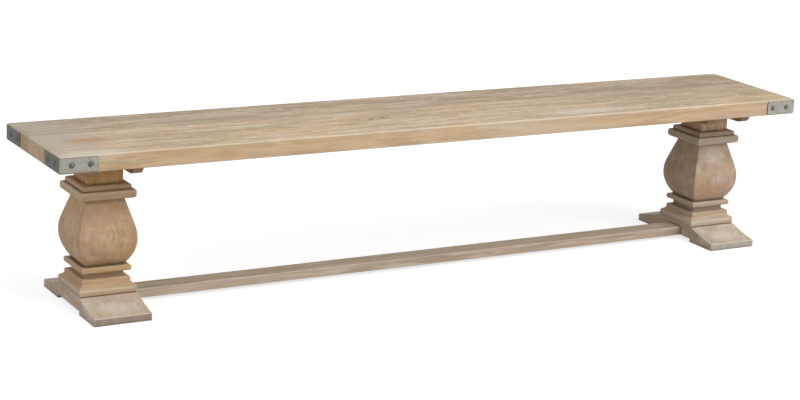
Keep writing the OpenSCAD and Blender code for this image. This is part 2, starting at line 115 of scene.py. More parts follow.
def finish_nodes(material, *names):
    """Gives a material to every slot of the named solids."""
    for name in names:
        for slot in nodes[name].material_slots:
            slot.material = material


print("a limed tan in linear values:", [round(c, 3) for c in linear("#CAB79B")[:3]])

# %% [markdown]
# ## The way the grain runs
# Grain painted flat on each face breaks at the corners. Here it is worked out in space, from coordinates
# whose first axis lies along the grain, so that a streak on top of a board goes on down its edge and ends
# as a spot on the end grain. Boards and rail have their grain along X, feet and cleats along Y, and vases
# and necks stand on end. The square mouldings are cut from four lengths with mitres, so their grain turns
# at each corner.

# %% Grain coordinates
PEDESTAL_X = (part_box("vase_right")[0].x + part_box("vase_right")[1].x) / 2


def grain_space(tree, along, shift):
    """A place as (along the grain, across it, across it the other way), moved by a shift."""
    place = add(tree, "TexCoord", out="Object")
    x = add(tree, "SeparateXYZ", {0: place}, "X")
    y = add(tree, "SeparateXYZ", {0: place}, "Y")
    z = add(tree, "SeparateXYZ", {0: place}, "Z")
    order = {"X": (x, y, z), "Y": (y, x, z), "Z": (z, x, y)}.get(along)
    if along == "sides":
        # Beyond the mitres of a pedestal its mouldings run along Y, and before them along X
        off_x = add(tree, "Math", {0: x}, operation="ABSOLUTE")
        off_x = add(tree, "Math", {0: off_x, 1: PEDESTAL_X}, operation="SUBTRACT")
        off_x = add(tree, "Math", {0: off_x}, operation="ABSOLUTE")
        off_y = add(tree, "Math", {0: y}, operation="ABSOLUTE")
        on_side = add(tree, "Math", {0: off_x, 1: off_y}, operation="GREATER_THAN")
        order = (add(tree, "Mix", {0: on_side, 2: x, 3: y}), add(tree, "Mix", {0: on_side, 2: y, 3: x}), z)
    joined = add(tree, "CombineXYZ", dict(enumerate(order)))
    return add(tree, "VectorMath", {0: joined, 1: shift}, operation="ADD")


print("middle of the right pedestal at x", round(PEDESTAL_X / MM), "mm")

# %% [markdown]
# ## Limed mango wood
# The soft olive, pink and orange drift of the colour, and rings that hardly show, point to mango, a common
# wood for such benches. It was brushed with wire, which opens the pores, washed with lime, and wiped, so
# that white stays in the hollows and the arrises wear pale. A picture of real wood would repeat along the
# seat and have no end grain. Here each of these traits is one layer of colour over the last instead, laid
# where a noise that is stretched along the grain lies between two values. Real pores are about 0.3 mm
# wide, too fine to show in this render. They are drawn coarser, from a noise of 4 to 6 mm that leaves
# spots about 2 mm wide. The long boards were brushed hardest. The thick blocks of the pedestals and the
# feet are smoother, and their figure is softer.

# %% Layers of the wood
# Each layer: width and length of its noise in mm, the noise's detail, the values between which it fades in,
# its tone and its largest share
BOARD_LAYERS = [
    ((70, 300), 2, (0.42, 0.58), "pink", 0.80),
    ((42, 400), 2, (0.46, 0.58), "olive", 0.85),
    ((30, 280), 2, (0.52, 0.66), "warm", 0.60),
    ((20, 200), 3, (0.48, 0.62), "pale", 0.60),
    ((14, 160), 3, (0.50, 0.62), "brown", 0.50),
    ((7, 90), 3, (0.54, 0.65), "brown", 0.35),
    ((6, 35), 2, (0.56, 0.69), "lime", 0.75),
]
BLOCK_LAYERS = [
    ((40, 45), 2, (0.40, 0.60), "pink", 0.80),
    ((32, 50), 2, (0.46, 0.62), "olive", 0.60),
    ((26, 40), 2, (0.50, 0.66), "warm", 0.45),
    ((18, 28), 2, (0.48, 0.66), "pale", 0.40),
    ((7, 50), 3, (0.52, 0.66), "brown", 0.25),
    ((4, 12), 2, (0.58, 0.68), "lime", 0.30),
]
# How far one layer's noise lies from the next, so that no two layers look alike
LAYER_STEP = (7.3, 3.1, 5.7)


def layered(tree, place, layers, stretch, upward, tones):
    """The ground colour with each layer over it, and the noise of each layer."""
    # Lime stays on faces that look up, where the wash settled, and little of it on upright ones
    settled = add(tree, "MapRange", {"Value": upward, "From Min": 0.3, "From Max": 0.9, "To Min": 0.25})
    colour = tones["ground"]
    noises = []
    for number, ((width, length), detail, (start, end), tone, share) in enumerate(layers):
        width, length = (width * stretch[0] * MM, length * stretch[1] * MM)
        moved = tuple(step * number for step in LAYER_STEP)
        spread = add(tree, "Mapping", {"Vector": place, "Location": moved,
                                       "Scale": (1 / length, 1 / width, 1 / width)})
        noise = add(tree, "TexNoise", {"Vector": spread, "Scale": 1, "Detail": detail, "Roughness": 0.55})
        cover = add(tree, "MapRange", {"Value": noise, "From Min": start, "From Max": end, "To Max": share},
                    interpolation_type="SMOOTHSTEP")
        if tone == "lime":
            cover = add(tree, "Math", {0: cover, 1: settled}, operation="MULTIPLY")
        colour = add(tree, "Mix", {0: cover, 6: colour, 7: tones[tone]}, data_type="RGBA")
        noises.append(noise)
    return colour, noises


print("layers of colour:", len(BOARD_LAYERS), "on boards and", len(BLOCK_LAYERS), "on blocks")

# %% [markdown]
# ## Sway and growth rings
# Grain is never quite straight, so each place is moved across the grain by a slow noise before the layers
# are looked up there. Growth rings lie round the pith, the middle of the tree. They are drawn by the
# distance from it, which gives lines along a board, ovals on a vase and curves on end grain, all from one
# rule. Real rings are 4 to 8 mm wide. Only coarser ones would show from here, so a ring is drawn 18 mm
# wide, and goes from pale to dark and back.

# %% Sway and rings
SWAY = 8 * MM
SWAY_WIDTH = 90 * MM
HALF_RING = 9 * MM
RING_SHARE = 0.2


def swaying(tree, straight, length):
    """A place moved across the grain, back and forth over a length."""
    slow = add(tree, "Mapping", {"Vector": straight, "Scale": (1 / length, 1 / SWAY_WIDTH, 1 / SWAY_WIDTH)})
    moved = add(tree, "TexNoise", {"Vector": slow, "Scale": 1, "Detail": 2}, "Color")
    moved = add(tree, "VectorMath", {0: moved, 1: (0.5, 0.5, 0.5)}, operation="SUBTRACT")
    # The noise stays within about a quarter of its middle, so four times the sway gives the whole of it
    moved = add(tree, "VectorMath", {0: moved, 1: (0, 4 * SWAY, 4 * SWAY)}, operation="MULTIPLY")
    return add(tree, "VectorMath", {0: straight, 1: moved}, operation="ADD")


def ringed(tree, place, pith, noise, colour, tones):
    """Growth rings round the pith, which show in some places more than in others."""
    off = add(tree, "VectorMath", {0: place, 1: (0, *pith)}, operation="SUBTRACT")
    off = add(tree, "VectorMath", {0: off, 1: (0, 1, 1)}, operation="MULTIPLY")
    radius = add(tree, "VectorMath", {0: off}, "Value", operation="LENGTH")
    season = add(tree, "Math", {0: radius, 1: 1 / HALF_RING}, operation="MULTIPLY")
    season = add(tree, "Math", {0: season, 1: 1.0}, operation="PINGPONG")
    clear = add(tree, "MapRange", {"Value": noise, "From Min": 0.38, "From Max": 0.58,
                                   "To Max": RING_SHARE})
    ring = add(tree, "MapRange", {"Value": season, "From Min": 0.35, "From Max": 0.95, "To Max": clear},
               interpolation_type="SMOOTHSTEP")
    return add(tree, "Mix", {0: ring, 6: colour, 7: tones["brown"]}, data_type="RGBA")


print("growth rings", round(2 * HALF_RING / MM), "mm wide, sway", round(SWAY / MM), "mm")

# %% [markdown]
# ## Single marks
# Noise alone makes every part of the wood alike, and a real piece has places one remembers: a stain, a
# knot, a bleached end. Each is an oval spot with its own place, size, tone and share, and the finest noise
# makes its edge ragged. Where a branch once grew, the grain closes round it in ovals.

# %% Marks and ovals
OVAL_REACH = 2.4


def reach_from(tree, place, spot, size):
    """How far a place is from a spot: 0 in its middle and 1 at its size."""
    off = add(tree, "VectorMath", {0: place, 1: spot}, operation="SUBTRACT")
    off = add(tree, "VectorMath", {0: off, 1: size}, operation="DIVIDE")
    return add(tree, "VectorMath", {0: off}, "Value", operation="LENGTH")


def marked(tree, place, marks, noise, colour, tones):
    """Spots with ragged edges."""
    for spot, size, tone, share in marks:
        ragged = add(tree, "Math", {0: noise, 1: reach_from(tree, place, spot, size)}, operation="ADD")
        cover = add(tree, "MapRange", {"Value": ragged, "From Min": 1.5, "From Max": 0.7, "To Max": share},
                    interpolation_type="SMOOTHSTEP")
        colour = add(tree, "Mix", {0: cover, 6: colour, 7: tones[tone]}, data_type="RGBA")
    return colour


def closed_round(tree, place, ovals, noise, colour, tones):
    """Grain that closes in ovals round old branches, and fades away from them."""
    for spot, size, tone, share in ovals:
        reach = reach_from(tree, place, spot, size)
        uneven = add(tree, "Math", {0: noise, 1: 2.5, 2: reach}, operation="MULTIPLY_ADD")
        season = add(tree, "Math", {0: uneven, 1: 0.5}, operation="PINGPONG")
        near = add(tree, "MapRange", {"Value": reach, "From Min": 1.0, "From Max": OVAL_REACH,
                                      "To Min": share, "To Max": 0})
        cover = add(tree, "MapRange", {"Value": season, "From Min": 0.2, "From Max": 0.45, "To Max": near},
                    interpolation_type="SMOOTHSTEP")
        colour = add(tree, "Mix", {0: cover, 6: colour, 7: tones[tone]}, data_type="RGBA")
    return colour


print("ovals fade out at", OVAL_REACH, "times their size")

# %% [markdown]
# ## Wash and end grain
# The maker wiped the wash off, so it lies thin on the faces that look up. The front and the ends of the
# seat were sanded and show less figure. End grain soaks up more and is darker.

# %% Wash and end grain
WASH_SHARE = 0.25


def washed_and_sanded(tree, upward, sanded, colour, tones):
    """The wash on faces that look up, and the smoothing of upright ones."""
    wiped = add(tree, "MapRange", {"Value": upward, "From Min": 0.5, "From Max": 0.95,
                                   "To Max": WASH_SHARE})
    colour = add(tree, "Mix", {0: wiped, 6: colour, 7: tones["wash"]}, data_type="RGBA")
    smooth = add(tree, "MapRange", {"Value": upward, "From Min": 0.9, "From Max": 0.3, "To Max": sanded})
    return add(tree, "Mix", {0: smooth, 6: colour, 7: tones["ground"]}, data_type="RGBA")


def soaked_ends(tree, normal, along, ends, colour, tones):
    """Darker end grain, on faces that look along the grain."""
    endward = add(tree, "SeparateXYZ", {0: normal}, along)
    endward = add(tree, "Math", {0: endward}, operation="ABSOLUTE")
    soaked = add(tree, "MapRange", {"Value": endward, "From Min": 0.85, "From Max": 0.98, "To Max": ends})
    return add(tree, "Mix", {0: soaked, 6: colour, 7: tones["end"]}, data_type="RGBA")


print("share of the wash on a level face:", WASH_SHARE)

# %% [markdown]
# ## Wear, painted highlight and painted shade
# Arrises are rubbed pale over some 3 mm, and on the round upper arris of the seat that pale band is also a
# painted highlight. Inner corners are painted darker, as shade, with some dust. The Bevel node finds
# arrises, because near them its normal turns away from the face's own, and Ambient Occlusion finds
# corners. Neither needs a mesh that is cut finer. A bevel of 4 mm shows its wear over some 3 mm.

# %% Wear, painted highlight and painted shade
BEVEL_RADIUS = 4 * MM
SLANT_MIDDLE = 0.55
# The tone and reach of the painted shade, with some dust, in inner corners
SHADE_AND_DUST_TONE = "#5E4830"
SHADE_AND_DUST_REACH = 14 * MM


def worn_arrises(tree, normal, rounded, arris):
    """How pale the wear makes each arris."""
    turned = add(tree, "VectorMath", {0: rounded, 1: normal}, "Value", operation="DOT_PRODUCT")
    return add(tree, "MapRange", {"Value": turned, "From Min": 0.998, "From Max": 0.94, "To Max": arris})


def worn_and_highlit_seat(tree, wear_and_highlight, upward, straight, seams, arris):
    """Wear and a painted highlight on the round upper arris of the seat, found by its slant, and none where
    two boards meet.
    """
    # A painted highlight on the round upper arris, where the face looks about halfway up
    slant = add(tree, "Math", {0: upward, 1: SLANT_MIDDLE}, operation="SUBTRACT")
    slant = add(tree, "Math", {0: slant}, operation="ABSOLUTE")
    slant = add(tree, "MapRange", {"Value": slant, "From Min": 0.42, "From Max": 0.25, "To Max": arris / 2})
    wear_and_highlight = add(tree, "Math", {0: wear_and_highlight, 1: slant}, operation="MAXIMUM")
    across = add(tree, "SeparateXYZ", {0: straight}, "Y")
    for seam in seams:
        off = add(tree, "Math", {0: across, 1: seam}, operation="SUBTRACT")
        off = add(tree, "Math", {0: off}, operation="ABSOLUTE")
        open_edge = add(tree, "MapRange", {"Value": off, "From Min": BEVEL_RADIUS,
                                            "From Max": 2 * BEVEL_RADIUS})
        open_edge = add(tree, "Math", {0: open_edge, 1: slant}, operation="MAXIMUM")
        wear_and_highlight = add(tree, "Math", {0: wear_and_highlight, 1: open_edge}, operation="MULTIPLY")
    return wear_and_highlight


def shade_and_dust_in_corners(tree, shade_and_dust, colour):
    """Painted shade, with some dust, in the inner corners."""
    shelter = add(tree, "AmbientOcclusion", {"Distance": SHADE_AND_DUST_REACH}, "AO", samples=8)
    shade_and_dust_share = add(tree, "MapRange", {"Value": shelter, "From Min": 0.80, "From Max": 0.40, "To Max": shade_and_dust})
    return add(tree, "Mix", {0: shade_and_dust_share, 6: colour, 7: linear(SHADE_AND_DUST_TONE)}, data_type="RGBA")


print("dust reaches", round(SHADE_AND_DUST_REACH / MM), "mm out of a corner")

# %% [markdown]
# ## The whole wood
# One function puts the layers together in the order in which they came about: the grown wood, its marks,
# the maker's wash and sanding, then wear with a painted highlight, and painted shade with some dust. The
# finest layer also raises the surface a little, as brushing does. A limed surface is dry, so it is rough,
# with an IOR of 1.45 and little shine.

# %% Limed mango
DRY_ROUGHNESS = 0.68


def limed_mango(name, along, tones, layers, pith, arris, shift=(0, 0, 0), stretch=(1, 1), sway=300,
                ends=0.0, sanded=0.0, shade_and_dust=0.8, seams=(), marks=(), ovals=()):
    """Brushed and limed mango.

    Tones names its colours, and pith is the place of the tree's middle across the grain, in metres. A shift
    takes the piece from another part of the tree. Stretch makes the spots wider and longer, and sway is the
    length in mm over which the grain goes back and forth. Arris, ends and sanded say how strongly the wear
    on the arrises, with a painted highlight on the seat's round arris, the dark end grain and the smoothing
    of upright faces show. The share for the corners says how far they are darkened, as painted shade with
    some dust. Seams are the places across the seat where a board is glued to the next. Marks are single
    spots, and ovals are places where the grain closes round an old branch.
    """
    material, tree = new_material(name)
    tones = {tone: linear(colour) for tone, colour in tones.items()}
    straight = grain_space(tree, along, shift)
    place = swaying(tree, straight, sway * MM)
    normal = add(tree, "NewGeometry", out="Normal")
    upward = add(tree, "SeparateXYZ", {0: normal}, "Z")

    colour, noises = layered(tree, place, layers, stretch, upward, tones)
    colour = ringed(tree, place, pith, noises[0], colour, tones)
    colour = marked(tree, straight, marks, noises[-1], colour, tones)
    colour = closed_round(tree, place, ovals, noises[1], colour, tones)
    colour = washed_and_sanded(tree, upward, sanded, colour, tones)
    if ends:
        colour = soaked_ends(tree, normal, along, ends, colour, tones)

    rounded = add(tree, "Bevel", {"Radius": BEVEL_RADIUS}, samples=8)
    wear_and_highlight = worn_arrises(tree, normal, rounded, arris)
    if seams:
        wear_and_highlight = worn_and_highlit_seat(tree, wear_and_highlight, upward, straight, seams, arris)
    # Pale wear on the arrises, which on the seat's round arris is also a painted highlight
    colour = add(tree, "Mix", {0: wear_and_highlight, 6: colour, 7: tones["lime"]}, data_type="RGBA")
    # The inner corners are painted darker, as shade with some dust
    colour = shade_and_dust_in_corners(tree, shade_and_dust, colour)

    bump = add(tree, "Bump", {"Strength": 0.35, "Distance": 0.5 * MM, "Height": noises[-1],
                              "Normal": rounded})
    surface = add(tree, "BsdfPrincipled", {"Base Color": colour, "Roughness": DRY_ROUGHNESS, "IOR": 1.45,
                                           "Specular IOR Level": 0.35, "Normal": bump})
    add(tree, "OutputMaterial", {"Surface": surface})
    return material


print("limed mango, roughness", DRY_ROUGHNESS, "and bevels of", round(BEVEL_RADIUS / MM), "mm")

# %% [markdown]
# ## The seat
# Four boards are glued side by side. They come from different trees, so each has its own tone: the two at
# the back are browner, and the two at the front are greyer and paler. Marks of the real seat are put back
# at their places: a small dark knot near the middle, brown and orange stains, olive and limed streaks and
# a pale grey left end. Toward the right the seat is painted darker, as shade. A mark on the top, the front
# face or the end wood has its middle on that face, and is a flat oval there.

# %% Tones and marks of the boards
SEAT_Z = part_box("top_board_front")[1].z
SEAT_END_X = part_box("top_board_front")[0].x
# The last tone of each set darkens the right part of the seat, as painted shade
FRONT_TONES = {"ground": "#DCBE97", "pink": "#CFB09A", "olive": "#AE9970", "warm": "#D8A676",
               "pale": "#DFCEB3", "brown": "#A88A62", "lime": "#EFE6D6", "wash": "#BDB3A0",
               "knot": "#3A2C20", "stain": "#B98A5A", "end": "#C6AF8C", "grey": "#B4AC9F",
               "painted_shade": "#8C7556"}
BACK_TONES = {"ground": "#CBB08A", "pink": "#C2A594", "olive": "#9A8762", "warm": "#C79A70",
              "pale": "#D2C2AA", "brown": "#907657", "lime": "#E3D8C6", "wash": "#B2A899",
              "end": "#C0AA86", "grey": "#AFA79B", "painted_shade": "#8C7556"}
FACE_Y = -0.195
FACE_Z = 0.427
# Each mark: its place and its size to each side, both in metres, then its tone and its share
BLEACHED_END = ((SEAT_END_X, 0, SEAT_Z), (0.24, 0.40, 0.02), "grey", 0.75)
# Painted shade over the right part of the seat
RIGHT_PAINTED_SHADE = ((0.86, 0.02, SEAT_Z), (0.55, 0.19, 0.02), "painted_shade", 0.35)
board_looks = {
    "top_board_front": (FRONT_TONES, [
        BLEACHED_END,
        ((-1.025, -0.058, SEAT_Z), (0.11, 0.036, 0.02), "stain", 0.85),
        ((-1.000, -0.050, SEAT_Z), (0.05, 0.016, 0.02), "brown", 0.8),
        ((-1.050, -0.172, SEAT_Z), (0.14, 0.036, 0.02), "lime", 0.5),
        ((0.720, -0.095, SEAT_Z), (0.26, 0.030, 0.02), "olive", 0.7),
        ((1.030, -0.175, SEAT_Z), (0.16, 0.050, 0.02), "olive", 0.6),
        RIGHT_PAINTED_SHADE,
        ((1.070, -0.110, SEAT_Z), (0.12, 0.026, 0.02), "stain", 0.35),
        # Painted shade at the right end
        ((1.080, -0.080, SEAT_Z), (0.14, 0.050, 0.02), "painted_shade", 0.3),
        ((0.440, -0.143, SEAT_Z), (0.22, 0.040, 0.02), "lime", 0.5),
        # Those on the front face
        ((-0.720, FACE_Y, FACE_Z), (0.24, 0.015, 0.05), "ground", 0.7),
        ((-0.350, FACE_Y, FACE_Z), (0.22, 0.015, 0.05), "ground", 0.5),
        ((0.250, FACE_Y, FACE_Z), (0.45, 0.015, 0.05), "pale", 0.5),
        ((0.470, FACE_Y, 0.425), (0.14, 0.015, 0.014), "warm", 0.35),
        ((0.640, FACE_Y, 0.437), (0.18, 0.015, 0.014), "olive", 0.4),
        ((0.930, FACE_Y, FACE_Z), (0.30, 0.015, 0.05), "pink", 0.4),
        ((-1.000, FACE_Y, 0.408), (0.07, 0.015, 0.022), "stain", 0.6),
        ((-0.700, FACE_Y, 0.425), (0.05, 0.020, 0.020), "stain", 0.45),
        # On the end wood
        ((SEAT_END_X, -0.090, 0.425), (0.03, 0.065, 0.04), "stain", 0.9),
    ]),
    "top_board_third": (FRONT_TONES, [
        BLEACHED_END,
        # The dark specks of one knot
        ((-0.148, -0.030, SEAT_Z), (0.009, 0.014, 0.02), "knot", 0.45),
        ((-0.171, -0.047, SEAT_Z), (0.014, 0.020, 0.02), "knot", 0.65),
        ((-0.188, -0.032, SEAT_Z), (0.008, 0.012, 0.02), "knot", 0.4),
        ((-0.212, -0.054, SEAT_Z), (0.011, 0.018, 0.02), "knot", 0.45),
        ((-0.250, -0.040, SEAT_Z), (0.012, 0.016, 0.02), "knot", 0.3),
        # Streaks and stains
        ((0.690, -0.010, SEAT_Z), (0.26, 0.030, 0.02), "olive", 0.7),
        RIGHT_PAINTED_SHADE,
        # Painted shade toward the right
        ((0.640, 0.030, SEAT_Z), (0.22, 0.040, 0.02), "painted_shade", 0.3),
        ((-1.020, -0.050, SEAT_Z), (0.10, 0.036, 0.02), "stain", 0.85),
        ((-1.000, -0.050, SEAT_Z), (0.05, 0.016, 0.02), "brown", 0.6),
        ((0.144, -0.004, SEAT_Z), (0.06, 0.018, 0.02), "stain", 0.6),
        ((-0.650, -0.010, SEAT_Z), (0.20, 0.012, 0.02), "brown", 0.5),
    ]),
    "top_board_second": (BACK_TONES, [
        BLEACHED_END,
        ((0.380, 0.045, SEAT_Z), (0.16, 0.016, 0.02), "olive", 0.8),
        ((0.620, 0.080, SEAT_Z), (0.20, 0.022, 0.02), "olive", 0.8),
        RIGHT_PAINTED_SHADE,
        ((-0.650, 0.075, SEAT_Z), (0.24, 0.022, 0.02), "olive", 0.6),
        ((SEAT_END_X, 0.085, 0.430), (0.03, 0.075, 0.05), "olive", 0.9),
        ((-0.700, 0.110, SEAT_Z), (0.22, 0.030, 0.02), "wash", 0.4),
    ]),
    "top_board_back": (BACK_TONES, [
        BLEACHED_END,
        ((-0.700, 0.165, SEAT_Z), (0.25, 0.030, 0.02), "olive", 0.5),
        RIGHT_PAINTED_SHADE,
    ]),
}
print("marks on each board:", {board: len(marks) for board, (tones, marks) in board_looks.items()})

# %% [markdown]
# ## Finishing the boards
# The pith of each board lay below it and a little off its middle, so its rings run as long lines on top
# and as arches on its end. The grain of a long board sways slowly. Boards meet in a glued seam, so only
# the outer arrises of the seat are worn and given a painted highlight.

# %% Boards of the seat
PITH_ASIDE = 20 * MM
PITH_DEPTH = 120 * MM
seat_front, seat_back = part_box("top_board_front")[0].y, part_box("top_board_back")[1].y
for board, (tones, marks) in board_looks.items():
    low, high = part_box(board)
    seams = [y for y in (low.y, high.y) if seat_front < y < seat_back]
    pith = ((low.y + high.y) / 2 + PITH_ASIDE, SEAT_Z - PITH_DEPTH)
    seat_wood = limed_mango("limed_mango_" + board, "X", tones, BOARD_LAYERS, pith, sway=600, arris=0.8,
                            ends=0.35, sanded=0.2, seams=seams, marks=marks)
    finish_nodes(seat_wood, board)
print("boards finished:", len(board_looks))

# %% [markdown]
# ## Tones of the pedestals, feet and rail
# The left pedestal is a warm tan and the right one is pinker and greyer. The necks under the seat kept
# more of the wood's own orange. The cleats get darker tones, painted shade for their place under the seat.
# The feet are palest, because the wash was left on their tops, with dark end grain, and the rail's top is
# painted darker, as shade under the seat. Each set of tones is one of these with a few changed.

# %% Tones of the pedestals, feet and rail
LEFT_TONES = {"ground": "#CBA981", "pink": "#C9A489", "olive": "#AF976E", "warm": "#C8986A",
              "pale": "#D8C3A6", "brown": "#9A7A54", "lime": "#E2D6C0", "wash": "#C8B598",
              "step": "#BFB496"}
RIGHT_TONES = {"ground": "#C5AC90", "pink": "#CAAF9E", "olive": "#AD9B7E", "warm": "#C49A74",
               "pale": "#D8C9B6", "brown": "#9A8165", "lime": "#E4DBCD", "wash": "#C8B9A3",
               "step": "#CBBCA9"}
FOOT_TONES = {"ground": "#CDB9A0", "pink": "#C8AA9C", "olive": "#AFA088", "warm": "#CDAC8A",
              "pale": "#EADFD2", "brown": "#9C8670", "lime": "#F0EAE0", "wash": "#D8CFC1"}
FOOT_LOOKS = {"left": FOOT_TONES | {"end": "#877C70"},
              "right": FOOT_TONES | {"ground": "#CBBCA2", "pink": "#C8B5A2", "end": "#B4B1AB"}}
NECK_LOOKS = {"left": LEFT_TONES | {"ground": "#E5B270", "pink": "#D4A46E", "olive": "#B8955A"},
              "right": RIGHT_TONES | {"ground": "#E0BC96", "pink": "#D8B294", "olive": "#BDA582"}}
# Darker tones for the cleats, painted shade for their place under the seat
CLEAT_TONES = LEFT_TONES | {"ground": "#B08A62", "pink": "#A9815E", "olive": "#94794F", "pale": "#BFA27A"}
# The rail's wash is dark: painted shade on its top, under the seat
RAIL_TONES = FOOT_TONES | {"pink": "#C6B096", "wash": "#7B7362"}
print("tones of the left pedestal:", ", ".join(LEFT_TONES))

# %% [markdown]
# ## Marks of the pedestals
# The vases have warm, brown and limed patches, and on the left one the grain closes round one old branch.
# More lime was left on the lowest step of each plinth and on the cap plate. A thin pale line at the foot of
# the ogee and along the top of the cap plate is a painted highlight, with some lime. Such a band is a mark
# that is far wider than the bench. The outer side of the left plinth is painted darker, as shade.

# %% Marks of the pedestals
# Places on a vase are its height, its place to the side of the pedestal's middle, then front to back
vase_marks = {
    "left": [((0.178, 0.062, -0.074), (0.05, 0.022, 0.05), "warm", 0.6),
             ((0.110, -0.010, -0.060), (0.035, 0.12, 0.05), "brown", 0.6),
             ((0.250, -0.020, -0.070), (0.05, 0.05, 0.05), "pink", 0.6),
             ((0.225, -0.078, 0.000), (0.05, 0.03, 0.08), "lime", 0.25)],
    "right": [((0.262, 0.000, -0.070), (0.045, 0.06, 0.04), "lime", 0.45),
              ((0.150, -0.010, -0.070), (0.045, 0.08, 0.04), "warm", 0.6),
              ((0.190, -0.078, 0.040), (0.05, 0.03, 0.03), "warm", 0.7)],
}
# An oval lies on the front face, so its place is a height and a place to the side
vase_ovals = {"left": [((0.198, 0.006), (0.024, 0.017, 0.03), "pale", 0.45)], "right": []}
WIDE = 10
LOWEST_STEP = 14.5 * MM
CAP_Z = (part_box("cap_plate_left")[0].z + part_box("cap_plate_left")[1].z) / 2
CAP_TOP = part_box("cap_plate_left")[1].z
OGEE_FOOT_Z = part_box("plinth_left")[0].z + LOWEST_STEP
OUTER_SIDE_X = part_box("plinth_left")[0].x
moulding_marks = [
    # Painted shade on the outer side of the left plinth
    ((0, OUTER_SIDE_X, 0.060), (WIDE, 0.040, 0.045), "brown", 0.35),
    ((0, 0, 0.055), (WIDE, WIDE, 0.020), "step", 0.6),
    ((0, 0, CAP_Z), (WIDE, WIDE, 0.030), "pale", 0.2),
    # Painted highlight, with some lime, at the foot of the ogee
    ((0, 0, OGEE_FOOT_Z), (WIDE, WIDE, 0.004), "lime", 0.6),
    # Painted highlight, with some lime, along the top of the cap plate
    ((0, 0, CAP_TOP - 3 * MM), (WIDE, WIDE, 0.005), "lime", 0.4),
]
print("heights in mm: foot of the ogee", round(OGEE_FOOT_Z / MM, 1), "cap plate", round(CAP_TOP / MM, 1))

# %% [markdown]
# ## Pedestals and feet
# The vases are cut on end from thick blocks. Their growth rings lie round a pith outside the block, 55 mm
# in front of the belly, so that they draw ovals on its swelling face. Necks and mouldings are taken from
# another part of the tree on each side, by a shift, so that left and right don't match. The slopes of the
# feet were limed most.

# %% Pedestals and feet
NECK_SHIFT = 0.7
MOULDING_SHIFT = 0.9
SLOPE_Y = 140 * MM
VASE_PITH_ASIDE = 12 * MM
VASE_PITH_AHEAD = 55 * MM
for side, sign, tones in (("left", -1, LEFT_TONES), ("right", 1, RIGHT_TONES)):
    x = sign * PEDESTAL_X
    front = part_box("vase_" + side)[0].y
    marks = [((z, x + across, y), *look) for (z, across, y), *look in vase_marks[side]]
    ovals = [((z, x + across, front), *look) for (z, across), *look in vase_ovals[side]]
    vase_wood = limed_mango("limed_mango_vase_" + side, "Z", tones, BLOCK_LAYERS,
                            pith=(x + VASE_PITH_ASIDE, front - VASE_PITH_AHEAD), arris=0.35,
                            stretch=(1.6, 0.8), shade_and_dust=0.2, marks=marks, ovals=ovals)
    finish_nodes(vase_wood, "vase_" + side)
    neck_wood = limed_mango("limed_mango_neck_" + side, "Z", NECK_LOOKS[side], BLOCK_LAYERS,
                            pith=(x + 0.09, 0.05), shift=(NECK_SHIFT * sign, 0, 0), stretch=(1, 2.5),
                            arris=0.2)
    finish_nodes(neck_wood, "neck_block_" + side)
    moulding_wood = limed_mango("limed_mango_mouldings_" + side, "sides", tones, BLOCK_LAYERS,
                                pith=(0.02, 0.13), shift=(MOULDING_SHIFT * sign, 0, 0), stretch=(0.6, 4),
                                arris=0.6, marks=moulding_marks)
    finish_nodes(moulding_wood, "cap_moulding_" + side, "cap_plate_" + side, "collar_" + side,
                 "plinth_" + side)
    slopes = [((y, x, 0.030), (0.040, 0.070, 0.030), "lime", 0.45) for y in (-SLOPE_Y, SLOPE_Y)]
    foot_wood = limed_mango("limed_mango_foot_" + side, "Y", FOOT_LOOKS[side], BLOCK_LAYERS,
                            pith=(x + 0.03, -0.08), stretch=(1.6, 1.8), arris=0.8, ends=0.6, marks=slopes)
    finish_nodes(foot_wood, "foot_" + side)
print("pedestals finished at x", round(-PEDESTAL_X / MM), "and", round(PEDESTAL_X / MM), "mm")

# %% [markdown]
# ## Cleats and rail
# The cleats run front to back and the rail runs from foot to foot, and both are sawn from straight stock,
# so their spots are stretched long. The rail's arrises are worn by shoes, and the cleats' hardly at all.

# %% Cleats and rail
cleat_wood = limed_mango("limed_mango_cleats", "Y", CLEAT_TONES, BLOCK_LAYERS, pith=(0.3, 0.2),
                         stretch=(1, 3), arris=0.15)
finish_nodes(cleat_wood, "cleat_left_outer", "cleat_left_inner", "cleat_right_inner", "cleat_right_outer")
rail_wood = limed_mango("limed_mango_rail", "X", RAIL_TONES, BLOCK_LAYERS, pith=(0.03, -0.05),
                        stretch=(0.6, 6), arris=0.8)
finish_nodes(rail_wood, "foot_rail")
print("woods made:", sum(1 for made in bpy.data.materials if made.name.startswith("limed_mango")))

# %% [markdown]
# ## Beech dowels
# The dowels are turned from clean, unfinished beech. Nothing of them shows once the boards are glued, so
# their finish is plain: a pale colour with the short dark flecks of beech, which are 2 to 4 mm long.

# %% Beech dowels
FLECK_LENGTH = 3 * MM
FLECK_WIDTH = 0.6 * MM
beech, tree = new_material("bare_beech")
place = grain_space(tree, "Y", (0, 0, 0))
spread = add(tree, "Mapping", {"Vector": place,
                               "Scale": (1 / FLECK_LENGTH, 1 / FLECK_WIDTH, 1 / FLECK_WIDTH)})
noise = add(tree, "TexNoise", {"Vector": spread, "Scale": 1, "Detail": 2})
fleck = add(tree, "MapRange", {"Value": noise, "From Min": 0.58, "From Max": 0.66, "To Max": 0.5})
colour = add(tree, "Mix", {0: fleck, 6: linear("#D9C39A"), 7: linear("#A98558")}, data_type="RGBA")
surface = add(tree, "BsdfPrincipled", {"Base Color": colour, "Roughness": 0.6, "IOR": 1.5})
add(tree, "OutputMaterial", {"Surface": surface})
finish_nodes(beech, "board_dowels")
print("dowels finished in", beech.name)

